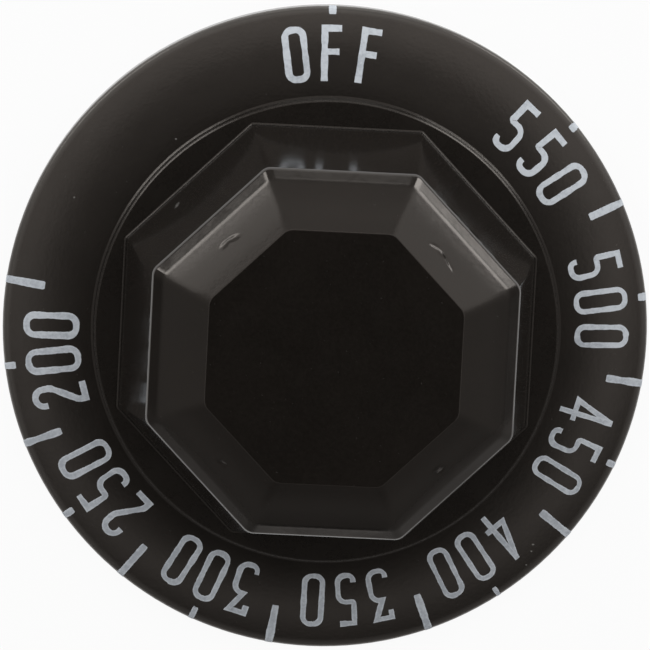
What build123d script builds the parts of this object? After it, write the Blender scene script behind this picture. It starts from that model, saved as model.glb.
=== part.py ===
from build123d import *
import os
from math import cos, radians, tan

# Temperature dial of an oven control: one moulding with a round skirt, an eight-sided grip and a
# hollow back, and the leaf spring in its hub that holds it on the control's shaft.
# Millimetres. The origin is on the shaft axis, in the plane of the back rim that faces the panel.
# +Z points out of the front, and +Y to the side that stands uppermost when the control is off.

# Skirt: a shallow cone, slightly domed, that carries the figures, with a raised round step inside them
skirt_diameter = 63.5
edge_height = 3.2
edge_round = 0.5
cone_rise = 1.7
dome_bulge = 0.26
step_ledge = 1.2
step_height = 1.5
step_draft = 5.0
step_chamfer = 0.3

# Grip: drafted walls up to a bevelled rim, then a crown that slopes to a flat top
grip_sides = 8
grip_flats = 40.0
rim_flats = 34.7
crown_flats = 23.9
wall_height = 18.8
bevel_height = 0.85
bevel_width = 1.05
crown_height = 2.55
rim_round = 0.7
bevel_round = 4.0
crown_round = 0.8
corner_round = 0.6
foot_round = 0.5

# Hollow back: even walls, a land that meets the panel, and ribs from the hub to the diagonal flats
skirt_wall = 2.2
grip_wall = 2.4
rim_land = 2.4
hollow_round = 0.8
rib_count = 4
rib_thickness = 1.8
rib_recess = 5.0

# Hub and socket for a quarter-inch shaft with one flat
shaft_diameter = 6.35
shaft_flat = 1.59
flat_turn = 180.0
socket_clearance = 0.05
socket_depth = 13.0
lead_in_clearance = 0.3
lead_in_depth = 4.0
mouth_chamfer = 0.4
hub_recess = 1.0
hub_wall = 2.3

# Leaf spring: a foot over the hub's end, a straight leg, and a bow that presses on the shaft's flat
spring_thickness = 0.4
spring_width = 3.0
spring_bend = 0.6
spring_ramp = 3.2
bow_length = 2.6
bow_bend = 2.0
bow_bite = 0.25
spring_gap = 0.15
spring_side_room = 0.1
spring_end_room = 0.4
foot_sink = 0.2
foot_inset = 0.4

# Heights and radii of the moulding that follow from the sizes above
skirt_radius = skirt_diameter / 2
side_turn = 360 / grip_sides
grip_corner = grip_flats / 2 / cos(radians(side_turn / 2))
step_radius = grip_corner + step_ledge
step_foot_z = edge_height + cone_rise
plateau_z = step_foot_z + step_height
step_top_radius = step_radius - step_height * tan(radians(step_draft))
rim_z = plateau_z + wall_height
bevel_z = rim_z + bevel_height
top_z = bevel_z + crown_height
draft_slope = (grip_flats - rim_flats) / 2 / wall_height

# The underside of the skirt is the front cone, set back by the wall
cone_slope = cone_rise / (skirt_radius - step_radius)
cone_drop = skirt_wall * (1 + cone_slope**2) ** 0.5
recess_radius = skirt_radius - rim_land
recess_edge_z = edge_height + rim_land * cone_slope - cone_drop
recess_axis_z = edge_height + skirt_radius * cone_slope - cone_drop

# Socket, spring slot and spring follow from the shaft
socket_radius = shaft_diameter / 2 + socket_clearance
socket_flat = shaft_flat + socket_clearance
socket_z = hub_recess + lead_in_depth
lead_in_radius = shaft_diameter / 2 + lead_in_clearance
slot_floor = lead_in_radius + spring_gap + spring_thickness
slot_width = spring_width + 2 * spring_side_room
hub_radius = slot_floor + hub_wall
notch_z = hub_recess + foot_sink + spring_thickness
leg_offset = slot_floor - spring_thickness / 2
bow_offset = socket_flat - bow_bite + spring_thickness / 2
foot_z = notch_z - spring_thickness / 2
bow_start_z = socket_z + spring_ramp
bow_end_z = bow_start_z + bow_length
toe_z = bow_end_z + spring_ramp
slot_top_z = toe_z + spring_end_room
socket_plane = Plane.XY.rotated((0, 0, flat_turn))
spring_plane = Plane.YZ.rotated((0, 0, flat_turn))

# Corners of the grip's outline on one side of the shaft axis. The walls run on behind the back, so
# that the hollow is the same outline without its bevel, set in by the wall.
root_z = -grip_wall
root_corner = (grip_flats / 2 + (plateau_z - root_z) * draft_slope, root_z)
rim_corner = (rim_flats / 2, rim_z)
bevel_corner = (rim_flats / 2 - bevel_width, bevel_z)
crown_corner = (crown_flats / 2, top_z)


def across_flats(*corners):
    """The outline across two opposite flats: the corners of one side, then those of the other."""
    return Polygon(*corners, *[(-across, z) for across, z in reversed(corners)], align=None)


def mitred_block(section):
    """The section across two flats, cut to one flat's share at mitre planes and repeated all round."""
    with BuildPart() as wedge:
        extrude(section.sketch, amount=grip_flats, both=True)
        split(bisect_by=Plane.YZ.rotated((0, 0, -side_turn / 2)), keep=Keep.BOTTOM)
        split(bisect_by=Plane.YZ.rotated((0, 0, side_turn / 2)), keep=Keep.TOP)
    with BuildPart() as block:
        with PolarLocations(0, grip_sides):
            add(wedge.part)
    return block.part


with BuildSketch(Plane.YZ) as grip_section:
    across_flats(root_corner, rim_corner, bevel_corner, crown_corner)
    fillet(grip_section.vertices().group_by(Axis.Y)[1], rim_round)
    fillet(grip_section.vertices().group_by(Axis.Y)[-2], bevel_round)
    fillet(grip_section.vertices().group_by(Axis.Y)[-1], crown_round)

with BuildSketch(Plane.YZ) as hollow_section:
    across_flats(root_corner, rim_corner, crown_corner)
    offset(amount=-grip_wall, kind=Kind.INTERSECTION, mode=Mode.REPLACE)
    fillet(hollow_section.vertices().group_by(Axis.Y)[1], hollow_round)
    fillet(hollow_section.vertices().group_by(Axis.Y)[-1], hollow_round)

# The grip stands on the step. Its mitred edges, which are the ones that climb, are rounded.
with BuildPart() as grip:
    add(mitred_block(grip_section))
    fillet(grip.edges() - grip.edges().filter_by(Plane.XY), corner_round)
    split(bisect_by=Plane.XY.offset(step_foot_z), keep=Keep.TOP)

# The space inside the moulding: the hollow of the grip and the recess behind the skirt, with the
# hub and the ribs left standing in it
with BuildPart() as core:
    add(mitred_block(hollow_section))
    with BuildSketch(Plane.XZ):
        Polygon((0, 0), (recess_radius, 0), (recess_radius, recess_edge_z), (0, recess_axis_z), align=None)
    revolve(axis=Axis.Z)
    with BuildSketch(Plane.XY.offset(hub_recess)):
        Circle(hub_radius)
    extrude(amount=top_z, mode=Mode.SUBTRACT)
    with BuildSketch(Plane.XY.offset(rib_recess)):
        with PolarLocations(0, rib_count, start_angle=side_turn):
            Rectangle(grip_flats, rib_thickness, align=(Align.MIN, Align.CENTER))
    extrude(amount=top_z, mode=Mode.SUBTRACT)

with BuildPart() as dial:
    # Skirt and step, turned about the shaft axis
    with BuildSketch(Plane.XZ) as skirt_section:
        edge_corner = (skirt_radius, edge_height)
        step_foot = (step_radius, step_foot_z)
        step_top = (step_top_radius, plateau_z)
        with BuildLine():
            Polyline(step_foot, step_top, (0, plateau_z), (0, 0), (skirt_radius, 0), edge_corner)
            SagittaArc(step_foot, edge_corner, dome_bulge)
        make_face()
        fillet(skirt_section.vertices().sort_by_distance(edge_corner)[0], edge_round)
        chamfer(skirt_section.vertices().sort_by_distance(step_top)[0], step_chamfer)
    revolve(axis=Axis.Z)

    # Grip, with a small round at its foot
    add(grip.part)
    foot_edges = dial.edges().filter_by(GeomType.LINE).filter_by(Plane.XY)
    fillet(foot_edges.filter_by_position(Axis.Z, step_foot_z, rim_z - rim_round), foot_round)

    add(core.part, mode=Mode.SUBTRACT)

    # Round lead-in, then the socket with its flat
    with BuildSketch(Plane.XY.offset(hub_recess)):
        Circle(lead_in_radius)
    extrude(amount=lead_in_depth, mode=Mode.SUBTRACT)
    mouth = dial.edges(Select.LAST).filter_by(GeomType.CIRCLE).sort_by(Axis.Z)[0]
    chamfer(mouth, mouth_chamfer)
    with BuildSketch(socket_plane.offset(socket_z)):
        Circle(socket_radius)
        with Locations((0, socket_flat)):
            Rectangle(shaft_diameter, shaft_diameter, align=(Align.CENTER, Align.MIN), mode=Mode.SUBTRACT)
    extrude(amount=socket_depth, mode=Mode.SUBTRACT)

    # Slot behind the flat for the spring, with a notch across the hub's end for its foot
    with BuildSketch(spring_plane) as slot_section:
        slot_corner = (slot_floor, notch_z)
        notch_end = hub_radius + foot_inset
        Polygon(
            (0, 0),
            (notch_end, 0),
            (notch_end, notch_z),
            slot_corner,
            (slot_floor, slot_top_z),
            (0, slot_top_z),
            align=None,
        )
        fillet(slot_section.vertices().sort_by_distance(slot_corner)[0], spring_bend - spring_thickness / 2)
    extrude(amount=slot_width / 2, both=True, mode=Mode.SUBTRACT)

with BuildPart() as shaft_spring:
    with BuildLine(spring_plane) as spring_line:
        FilletPolyline(
            (hub_radius - foot_inset, foot_z),
            (leg_offset, foot_z),
            (leg_offset, socket_z),
            (bow_offset, bow_start_z),
            (bow_offset, bow_end_z),
            (leg_offset, toe_z),
            radius=[spring_bend, bow_bend, bow_bend, bow_bend],
        )
    foot_plane = Plane(spring_line.line @ 0, x_dir=spring_plane.z_dir, z_dir=spring_line.line % 0)
    with BuildSketch(foot_plane):
        Rectangle(spring_width, spring_thickness)
    sweep(path=spring_line.line)

os.makedirs("parts", exist_ok=True)
dial.part.label = "dial"
shaft_spring.part.label = "shaft_spring"
export_step(dial.part, "parts/dial.step")
export_step(shaft_spring.part, "parts/shaft_spring.step")
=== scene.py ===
"""Temperature dial of an oven control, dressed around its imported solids.

The black moulding, the printed scale and the shaft spring are surfaces worked out as whole arrays.
Everything is in metres, in the frame of the solids: the origin on the shaft axis in the plane of the
back rim, +Z out of the front and +Y towards the OFF mark.
"""

import math

import bmesh
import bpy
import numpy as np
from mathutils import Matrix, Vector


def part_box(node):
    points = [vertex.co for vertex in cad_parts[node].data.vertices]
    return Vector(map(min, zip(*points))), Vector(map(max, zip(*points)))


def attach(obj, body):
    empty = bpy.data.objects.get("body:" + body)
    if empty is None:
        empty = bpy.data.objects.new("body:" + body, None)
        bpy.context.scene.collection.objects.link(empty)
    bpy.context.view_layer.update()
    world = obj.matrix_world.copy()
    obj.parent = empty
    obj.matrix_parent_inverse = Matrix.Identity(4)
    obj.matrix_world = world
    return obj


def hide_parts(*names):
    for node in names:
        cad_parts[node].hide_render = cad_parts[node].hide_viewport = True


bl_info = {
    "name": "Temperature Dial",
    "version": (1, 0, 0),
    "blender": (4, 5, 0),
    "location": "View3D > Sidebar > Dial",
    "description": "Builds a black moulded temperature dial with a printed scale around its solids",
    "category": "Add Mesh",
}

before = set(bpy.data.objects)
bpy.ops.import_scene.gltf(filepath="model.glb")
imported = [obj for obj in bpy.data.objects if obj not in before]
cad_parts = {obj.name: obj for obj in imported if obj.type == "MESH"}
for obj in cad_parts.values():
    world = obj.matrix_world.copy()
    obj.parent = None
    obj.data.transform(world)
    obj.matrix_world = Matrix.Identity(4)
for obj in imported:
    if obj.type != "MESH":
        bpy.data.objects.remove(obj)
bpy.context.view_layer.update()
DIAL_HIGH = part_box("dial")[1]

MM = 0.001
TINY = 1e-9
MERGE_GAP = 1e-7

# The grip has eight sides. The ribs stand behind its diagonal flats, at these turns from the spring slot.
HALF_SIDE = math.pi / 8
RIB_TURNS = np.radians([45, 135])
# Points in the arc of a round, and how far beyond the arc the point lies that holds the next run flat
FINE_ARC, EDGE_ARC, PLAIN_ARC, SMALL_ARC = 9, 8, 6, 5
HOLD = 0.05 * MM
# The flat top's innermost ring, as a share of its width, and how much of a crown flat its wide arc takes up
TOP_SHARE = 0.3
BOW_SHARE = 0.66
# Longest steps along the skirt's front and along a stroke of ink
SKIRT_STEP = 0.5 * MM
INK_STEP = 0.18 * MM
# Edges that turn by more than this stay sharp
MOULDING_CREASE, INK_CREASE, PLAIN_CREASE = np.radians([32, 40, 30])
FIGURE_SEED, TICK_SEED = 7, 11
# Sides of the round floor, and how much of its radius the face in its middle takes up
FLOOR_SIDES = 96
FLOOR_MIDDLE = 0.1


def length(name, description, millimetres):
    """A length property, written in millimetres and kept in metres."""
    return bpy.props.FloatProperty(
        name=name, description=description, default=millimetres * MM, unit="LENGTH", precision=5
    )


def turn(name, description, degrees):
    """An angle property, written in degrees and kept in radians."""
    return bpy.props.FloatProperty(
        name=name, description=description, default=math.radians(degrees), unit="ROTATION"
    )


def number(name, description, value):
    """A plain number."""
    return bpy.props.FloatProperty(name=name, description=description, default=value, precision=4)


def colour(name, description, red, green, blue):
    """A linear colour."""
    return bpy.props.FloatVectorProperty(
        name=name, description=description, default=(red, green, blue), subtype="COLOR", min=0, max=1
    )


class DialSizes(bpy.types.PropertyGroup):
    """Sizes of the moulding: those of the solids, with edges and rounds fitted to the photograph."""

    skirt_radius: length("Skirt radius", "Outer radius of the round skirt", DIAL_HIGH.x / MM)
    edge_height: length("Edge height", "Height of the skirt's upright edge", 3.2)
    edge_round: length("Edge round", "Round on the skirt's front edge", 0.5)
    back_round: length("Back round", "Small round on the back rim's edges", 0.15)
    cone_rise: length("Cone rise", "How far the skirt climbs from its edge to the step", 1.7)
    dome_bulge: length("Dome bulge", "How far the skirt's front bows out over a straight cone", 0.26)
    step_ledge: length("Step ledge", "Step beyond the corners of the grip", 1.2)
    step_height: length("Step height", "Height of the raised round step", 1.5)
    step_draft: turn("Step draft", "Lean of the step's wall", 4)
    step_chamfer: length("Step chamfer", "Width of the chamfer on the step's top edge", 0.17)
    step_foot_chamfer: length("Step foot chamfer", "Width of the slope where the step meets the skirt", 0.2)
    step_slope: turn("Step slope", "Slope of those two", 38)
    step_round: length("Step round", "Round on their edges", 0.08)

    grip_flats: length("Grip width", "Across two flats at the foot of the grip", 40.0)
    rim_flats: length("Rim width", "Across two flats at the top of the walls", 34.7)
    crown_flats: length("Crown width", "Across two flats at the edge of the flat top", 23.9)
    bevel_height: length("Bevel height", "Height of the bevel at the top of the walls", 0.84)
    bevel_width: length("Bevel width", "Width of that bevel, seen from the front", 1.05)
    crown_height: length("Crown height", "Height of the sloped crown", 2.55)
    crown_bow: length("Crown bow", "From a crown flat's chord to where its end tangents meet", 0.18)
    rim_round: length("Rim round", "Round between the walls and the bevel", 0.3)
    roll_height: length("Roll height", "Top of the walls that rolls inwards to the bevel", 0.36)
    roll_lean: length("Roll lean", "How far it rolls in from the straight wall", 0.1)
    roll_round: length("Roll round", "Round where the walls start to roll in", 1.2)
    bevel_round: length("Bevel round", "Round between the bevel and the crown", 4.0)
    crown_round: length("Crown round", "Round between the crown and the flat top", 0.35)
    corner_round: length("Corner round", "Round on the corners between two flats, at the crown", 1.4)
    foot_corner_round: length("Foot corner round", "Round on those corners at the foot of the grip", 0.5)
    foot_round: length("Foot round", "Hollow round at the foot of the grip", 0.25)
    top_z: length("Overall height", "Height of the flat top over the back rim", DIAL_HIGH.z / MM)

    skirt_wall: length("Skirt wall", "Thickness of the skirt", 2.2)
    grip_wall: length("Grip wall", "Thickness of the grip's walls", 2.4)
    rim_land: length("Rim land", "Width of the flat ring that meets the panel", 2.4)
    hollow_round: length("Hollow round", "Round on the hollow's edges", 0.8)
    rib_thickness: length("Rib thickness", "Thickness of the ribs in the hollow", 1.8)
    rib_recess: length("Rib recess", "How far the ribs stay behind the back rim", 5.0)

    shaft_radius: length("Shaft radius", "Radius of the control's shaft", 3.175)
    shaft_flat: length("Shaft flat", "From the shaft's axis to its flat", 1.59)
    socket_clearance: length("Socket clearance", "Room between the shaft and the socket", 0.05)
    socket_depth: length("Socket depth", "Length of the socket with the flat", 13.0)
    lead_in_clearance: length("Lead-in clearance", "Room between the shaft and the round mouth", 0.3)
    lead_in_depth: length("Lead-in depth", "Length of the round mouth", 4.0)
    mouth_chamfer: length("Mouth chamfer", "Chamfer at the mouth", 0.4)
    hub_recess: length("Hub recess", "How far the hub stays behind the back rim", 1.0)
    hub_wall: length("Hub wall", "Hub beyond the spring slot", 2.3)


class SpringSizes(bpy.types.PropertyGroup):
    """Sizes of the leaf spring and of its slot, as the solids have them, and of the strip's rolled edge."""

    thickness: length("Thickness", "Thickness of the strip", 0.4)
    width: length("Width", "Width of the strip", 3.0)
    bend: length("Bend", "Radius of the foot's bend, at the strip's middle", 0.6)
    ramp: length("Ramp", "Length of each slope of the bow", 3.2)
    bow_length: length("Bow length", "Length of the part that presses on the shaft", 2.6)
    bow_bend: length("Bow bend", "Radius of the bow's bends", 2.0)
    bow_bite: length("Bow bite", "How far the bow stands into the socket", 0.25)
    gap: length("Gap", "From the round mouth to the strip", 0.15)
    side_room: length("Side room", "Room beside the strip in its slot", 0.1)
    end_room: length("End room", "Room beyond the strip in its slot", 0.4)
    foot_sink: length("Foot sink", "How far the foot lies under the hub's end", 0.2)
    foot_inset: length("Foot inset", "Foot short of the hub's side", 0.4)
    edge_round: length("Edge round", "Rolled edge of the strip", 0.08)


class ScaleSizes(bpy.types.PropertyGroup):
    """Sizes of the printed scale."""

    print_turn: turn("Print turn", "Clockwise turn of the print against the grip", -2.1)
    shift_right: length("Shift right", "How far the print lies off the axis, to the right", 0.10)
    shift_up: length("Shift up", "How far the print lies off the axis, towards OFF", 0.16)
    middle_radius: length("Middle radius", "Radius of the middle of the figures", 27.04)
    half_width: length("Half width", "Half the width of a 0, to the middle of its stroke", 0.93)
    half_height: length("Half height", "Half the height of a figure, to the middle of its stroke", 2.44)
    stroke: length("Stroke", "Width of a stroke", 0.625)
    pitch: turn("Pitch", "Angle from one character to the next", 7.38)
    squeeze: number("Squeeze", "How much closer the characters stand on the side away from OFF", 0.045)
    stretch: number("Stretch", "How much taller the characters are on that side", 0.015)
    press_turn: turn("Press turn", "Side on which the stamp pressed hardest, clockwise from OFF", 322)
    press_stroke: number("Press on strokes", "How much wider strokes are there", 0.15)
    press_width: number("Press on widths", "How much wider characters are there", 0.07)
    tick_width: length("Tick width", "Width of a tick", 0.76)
    long_tick_radius: length("Long tick radius", "Inner end of the long ticks", 27.97)
    short_tick_radius: length("Short tick radius", "Inner end of the short ticks", 30.8)
    tick_drop: length("Tick drop", "How far the ticks run down the skirt's edge", 0.1)
    ink_height: length("Ink height", "Thickness of the ink", 0.03)
    ink_sink: length("Ink sink", "How far the ink's underside lies in the moulding", 0.02)
    roughness: number("Rough edge", "How far the stroke's edge wanders, as a part of its width", 0.16)


class Finish(bpy.types.PropertyGroup):
    """Colours and gloss."""

    moulding: colour("Moulding", "Dark colour of the moulding", 0.0076, 0.0061, 0.0049)
    moulding_light: colour("Moulding, light", "Lighter cloud in the moulding", 0.0096, 0.0076, 0.0061)
    sheen: colour("Sheen", "Tint of the moulding's reflections", 1.0, 0.89, 0.81)
    moulding_gloss: number("Moulding roughness", "Roughness of the skirt", 0.21)
    wall_gloss: number("Wall roughness", "Roughness of the grip's walls", 0.12)
    plateau_gloss: number("Step roughness", "Roughness of the flat step round the grip", 0.28)
    crown_gloss: number("Crown roughness", "Roughness of the grip's crown", 0.21)
    # Painted light: a lighter colour round the skirt's outer edge stands in for the light that its round
    # catches
    painted_edge_light: colour("Painted edge light", "Light painted into the colour of the skirt's outer edge", 0.10, 0.092, 0.085)
    dust: colour("Dust", "Colour of specks and scuffs", 0.55, 0.53, 0.50)
    ink: colour("Ink", "Colour of the print", 0.72, 0.755, 0.80)
    # Darker print colour: for thin ink, and for the shade painted on the strokes away from OFF
    ink_thin_and_shaded: colour("Ink, thin and shaded", "Colour of the print where it is thin, and of the shade painted on it", 0.50, 0.53, 0.575)
    steel: colour("Steel", "Colour of the spring", 0.52, 0.51, 0.49)


class Stage(bpy.types.PropertyGroup):
    """Floor, lights and camera."""

    floor_radius: length("Floor radius", "Radius of the round floor", 1500)
    floor_drop: length("Floor drop", "How far the floor lies under the back rim", 0.03)
    camera_distance: length("Camera distance", "From the camera to the dial", 500)
    view_width: length("View width", "Width of the picture at the dial", 63.12)
    camera_lean: turn("Camera lean", "Lean of the camera towards the OFF mark", 6.318)
    camera_side: turn("Camera side", "Lean of the camera to the left", 2.184)
    camera_roll: turn("Camera roll", "Turn of the camera about its own axis", 2.75)
    aim_height: length("Aim height", "Height of the point that the camera aims at", 10)
    aim_right: length("Aim right", "Sideways place of that point in the picture", -0.28)
    aim_up: length("Aim up", "Upward place of that point in the picture", 1.119)


# Geometry


def rounded_path(corners, radii, steps, hold=0.0):
    """Points along straight runs whose inner corners are rounded.

    A corner that turns by t with radius R starts R tan(t / 2) before its point. The arc is that start
    plus R sin(wt) along the run that comes in and R (1 - cos(wt)) across it, with w from 0 to 1. One more
    point a little before and after each arc holds the runs beside it flat when they are shaded smooth.
    """
    corners = np.asarray(corners, float)
    radii = np.asarray(radii, float)[:, None]
    runs = np.diff(corners, axis=0)
    along = runs / np.linalg.norm(runs, axis=1, keepdims=True)
    incoming, outgoing = along[:-1], along[1:]
    cosine = np.clip(np.sum(incoming * outgoing, axis=1, keepdims=True), -1, 1)
    angle = np.arccos(cosine)
    across = outgoing - incoming * cosine
    across = across / np.maximum(np.linalg.norm(across, axis=1, keepdims=True), TINY)
    reach = radii * np.tan(angle / 2)
    start = corners[1:-1] - incoming * reach
    finish = corners[1:-1] + outgoing * reach
    swing = angle * np.linspace(0, 1, steps)
    bend = np.sin(swing)[..., None] * incoming[:, None] + (1 - np.cos(swing))[..., None] * across[:, None]
    arcs = start[:, None] + radii[:, None] * bend
    before = (start - incoming * hold)[:, None]
    after = (finish + outgoing * hold)[:, None]
    held = np.concatenate([before, arcs, after], axis=1).reshape(-1, 2)
    path = np.concatenate([corners[:1], held, corners[-1:]])
    moved = np.linalg.norm(np.diff(path, axis=0), axis=1) > MERGE_GAP
    return path[np.concatenate([[True], moved])]


def subdivided(path, longest):
    """The path with even steps along each run, none of them longer than a length."""
    runs = np.diff(path, axis=0)
    steps = np.maximum(np.ceil(np.linalg.norm(runs, axis=1) / longest), 1).astype(int)
    run = np.repeat(np.arange(len(steps)), steps)
    step = np.arange(len(run)) - np.repeat(np.cumsum(steps) - steps, steps)
    points = path[run] + runs[run] * (step / steps[run])[:, None]
    return np.concatenate([points, path[-1:]])


def octagon_radius(angle, apothem, corner):
    """Distance from the axis to an octagon with rounded corners, at angles from the middle of a flat.

    On a flat it is apothem / cos(angle). Round a corner it is the far side of a circle of the corner's
    radius, whose middle lies on the corner's own line at (apothem - corner) / cos(half a side's turn).
    """
    from_flat = np.abs((angle + HALF_SIDE) % (2 * HALF_SIDE) - HALF_SIDE)
    from_corner = HALF_SIDE - from_flat
    middle = (apothem - corner) / math.cos(HALF_SIDE)
    bend = np.sqrt(np.maximum(corner**2 - (middle * np.sin(from_corner)) ** 2, 0))
    bend_starts = np.arctan2((apothem - corner) * math.tan(HALF_SIDE), apothem)
    return np.where(
        from_flat < bend_starts, apothem / np.cos(from_flat), middle * np.cos(from_corner) + bend
    )


def grid_faces(rows, columns, around):
    """Quads between neighbouring points of a grid, which closes on itself sideways if around is true."""
    last = columns if around else columns - 1
    row, column = np.meshgrid(np.arange(rows - 1), np.arange(last), indexing="ij")
    beside = (column + 1) % columns
    quads = [row * columns + column, row * columns + beside]
    quads += [(row + 1) * columns + beside, (row + 1) * columns + column]
    return np.stack(quads, axis=-1).reshape(-1, 4)


def new_piece(name, points, faces, material, smooth_angle, uv=None):
    """A mesh object from points and faces: doubles merged, normals outward, edges sharp past an angle."""
    mesh = bpy.data.meshes.new(name)
    mesh.from_pydata(np.asarray(points).reshape(-1, 3).tolist(), [], [face.tolist() for face in faces])
    if uv is not None:
        layer = mesh.uv_layers.new(name="stroke")
        corner_points = np.empty(len(mesh.loops), int)
        mesh.loops.foreach_get("vertex_index", corner_points)
        layer.data.foreach_set("uv", np.asarray(uv).reshape(-1, 2)[corner_points].ravel())
    tidy = bmesh.new()
    tidy.from_mesh(mesh)
    bmesh.ops.remove_doubles(tidy, verts=tidy.verts, dist=MERGE_GAP)
    bmesh.ops.dissolve_degenerate(tidy, edges=tidy.edges, dist=MERGE_GAP)
    bmesh.ops.recalc_face_normals(tidy, faces=tidy.faces)
    tidy.to_mesh(mesh)
    tidy.free()
    mesh.polygons.foreach_set("use_smooth", np.ones(len(mesh.polygons), bool))
    mesh.set_sharp_from_angle(angle=smooth_angle)
    mesh.materials.append(material)
    piece = bpy.data.objects.new(name, mesh)
    bpy.context.scene.collection.objects.link(piece)
    return piece


class MouldingPlan:
    """Heights and radii that follow from the sizes, as in the solids."""

    def __init__(self, dial, spring):
        self.grip_half = dial.grip_flats / 2
        self.rim_half = dial.rim_flats / 2
        self.crown_half = dial.crown_flats / 2
        self.step_radius = self.grip_half / math.cos(HALF_SIDE) + dial.step_ledge
        self.step_foot_z = dial.edge_height + dial.cone_rise
        self.plateau_z = self.step_foot_z + dial.step_height
        self.step_top_radius = self.step_radius - dial.step_height * math.tan(dial.step_draft)
        self.bevel_z = dial.top_z - dial.crown_height
        self.rim_z = self.bevel_z - dial.bevel_height
        self.wall_slope = (self.grip_half - self.rim_half) / (self.rim_z - self.plateau_z)
        # Corners of the grip's outline across a flat: distance from the axis, and height
        self.crown = np.array([self.crown_half, dial.top_z])
        self.bevel = np.array([self.rim_half - dial.bevel_width, self.bevel_z])
        self.rim = np.array([self.rim_half, self.rim_z])
        self.foot = np.array([self.grip_half, self.plateau_z])
        self.cone_slope = dial.cone_rise / (dial.skirt_radius - self.step_radius)
        self.cone_drop = dial.skirt_wall * math.hypot(1, self.cone_slope)
        self.recess_radius = dial.skirt_radius - dial.rim_land
        self.skirt_radius = dial.skirt_radius
        self.edge_height = dial.edge_height
        self.dome_bulge = dial.dome_bulge

        self.socket_radius = dial.shaft_radius + dial.socket_clearance
        self.socket_flat = dial.shaft_flat + dial.socket_clearance
        self.socket_z = dial.hub_recess + dial.lead_in_depth
        self.socket_end_z = self.socket_z + dial.socket_depth
        self.lead_in_radius = dial.shaft_radius + dial.lead_in_clearance
        self.slot_floor = self.lead_in_radius + spring.gap + spring.thickness
        self.slot_half = spring.width / 2 + spring.side_room
        self.hub_radius = self.slot_floor + dial.hub_wall
        self.notch_z = dial.hub_recess + spring.foot_sink + spring.thickness
        self.leg_offset = self.slot_floor - spring.thickness / 2
        self.bow_offset = self.socket_flat - spring.bow_bite + spring.thickness / 2
        self.foot_z = self.notch_z - spring.thickness / 2
        self.bow_start_z = self.socket_z + spring.ramp
        self.bow_end_z = self.bow_start_z + spring.bow_length
        self.toe_z = self.bow_end_z + spring.ramp
        self.slot_top_z = self.toe_z + spring.end_room

    def cone_z(self, radius):
        """Height of the straight cone from the skirt's edge to the foot of the step."""
        return self.edge_height + (self.skirt_radius - radius) * self.cone_slope

    def dome(self, radius):
        """Height of the skirt's front over that cone: a parabola that is 0 at both ends."""
        share = np.clip((radius - self.step_radius) / (self.skirt_radius - self.step_radius), 0, 1)
        return 4 * self.dome_bulge * share * (1 - share)

    def recess_z(self, radius):
        """Height of the skirt's underside, which is the cone set back by the wall."""
        return self.cone_z(radius) - self.cone_drop


def set_in(corner, before, after, wall):
    """The corner of an outline set in by a wall: it moves against the sum of its two runs' unit normals."""
    runs = np.array([np.subtract(corner, before), np.subtract(after, corner)])
    runs = runs / np.linalg.norm(runs, axis=1, keepdims=True)
    normals = runs @ np.array([[0, -1], [1, 0]])
    return np.asarray(corner) - wall * normals.sum(axis=0) / (1 + normals[0] @ normals[1])


def grip_outline(plan, dial):
    """The grip's outline across a flat, from the flat top to the foot.

    A crown flat is one wide arc between the rounds at its ends: its end tangents meet the bow's height
    over the middle of the chord, so its radius goes with the square of half the chord over that height.
    """
    chord = plan.bevel - plan.crown
    run = np.linalg.norm(chord)
    outward = np.array([-chord[1], chord[0]]) / run
    tangents_meet = (plan.crown + plan.bevel) / 2 + outward * dial.crown_bow
    bow_radius = BOW_SHARE * (run / 2) ** 2 / dial.crown_bow
    innermost = plan.crown_half * TOP_SHARE
    return rounded_path(
        [
            (innermost, dial.top_z),
            plan.crown,
            tangents_meet,
            plan.bevel,
            plan.rim - (dial.roll_lean, 0),
            plan.rim + (dial.roll_height * plan.wall_slope, -dial.roll_height),
            plan.foot,
            (plan.grip_half + dial.foot_round, plan.plateau_z),
        ],
        [dial.crown_round, bow_radius, dial.bevel_round, dial.rim_round, dial.roll_round, dial.foot_round],
        FINE_ARC,
        HOLD,
    )


def turned_outline(plan, dial):
    """The outline turned about the axis: step, skirt, edge, back rim, and underside as far as the hollow."""
    steep = math.tan(dial.step_slope)
    skirt_start = plan.step_radius + dial.step_foot_chamfer
    edge_middle = (dial.skirt_radius, dial.edge_height / 2)
    front = rounded_path(
        [
            (plan.step_top_radius - 2 * dial.step_chamfer, plan.plateau_z),
            (plan.step_top_radius - dial.step_chamfer, plan.plateau_z),
            (plan.step_top_radius, plan.plateau_z - dial.step_chamfer * steep),
            (plan.step_radius, plan.cone_z(skirt_start) + dial.step_foot_chamfer * steep),
            (skirt_start, plan.cone_z(skirt_start)),
            (dial.skirt_radius, dial.edge_height),
            edge_middle,
        ],
        [dial.step_round] * 4 + [dial.edge_round],
        EDGE_ARC,
        HOLD,
    )
    front = subdivided(front, SKIRT_STEP)
    front[:, 1] += plan.dome(front[:, 0])
    back = rounded_path(
        [
            edge_middle,
            (dial.skirt_radius, 0),
            (plan.recess_radius, 0),
            (plan.recess_radius, plan.recess_z(plan.recess_radius)),
            (plan.grip_half, plan.recess_z(plan.grip_half)),
        ],
        [dial.back_round] * 3,
        PLAIN_ARC,
        HOLD,
    )
    return np.concatenate([front, back[1:]])


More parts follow.
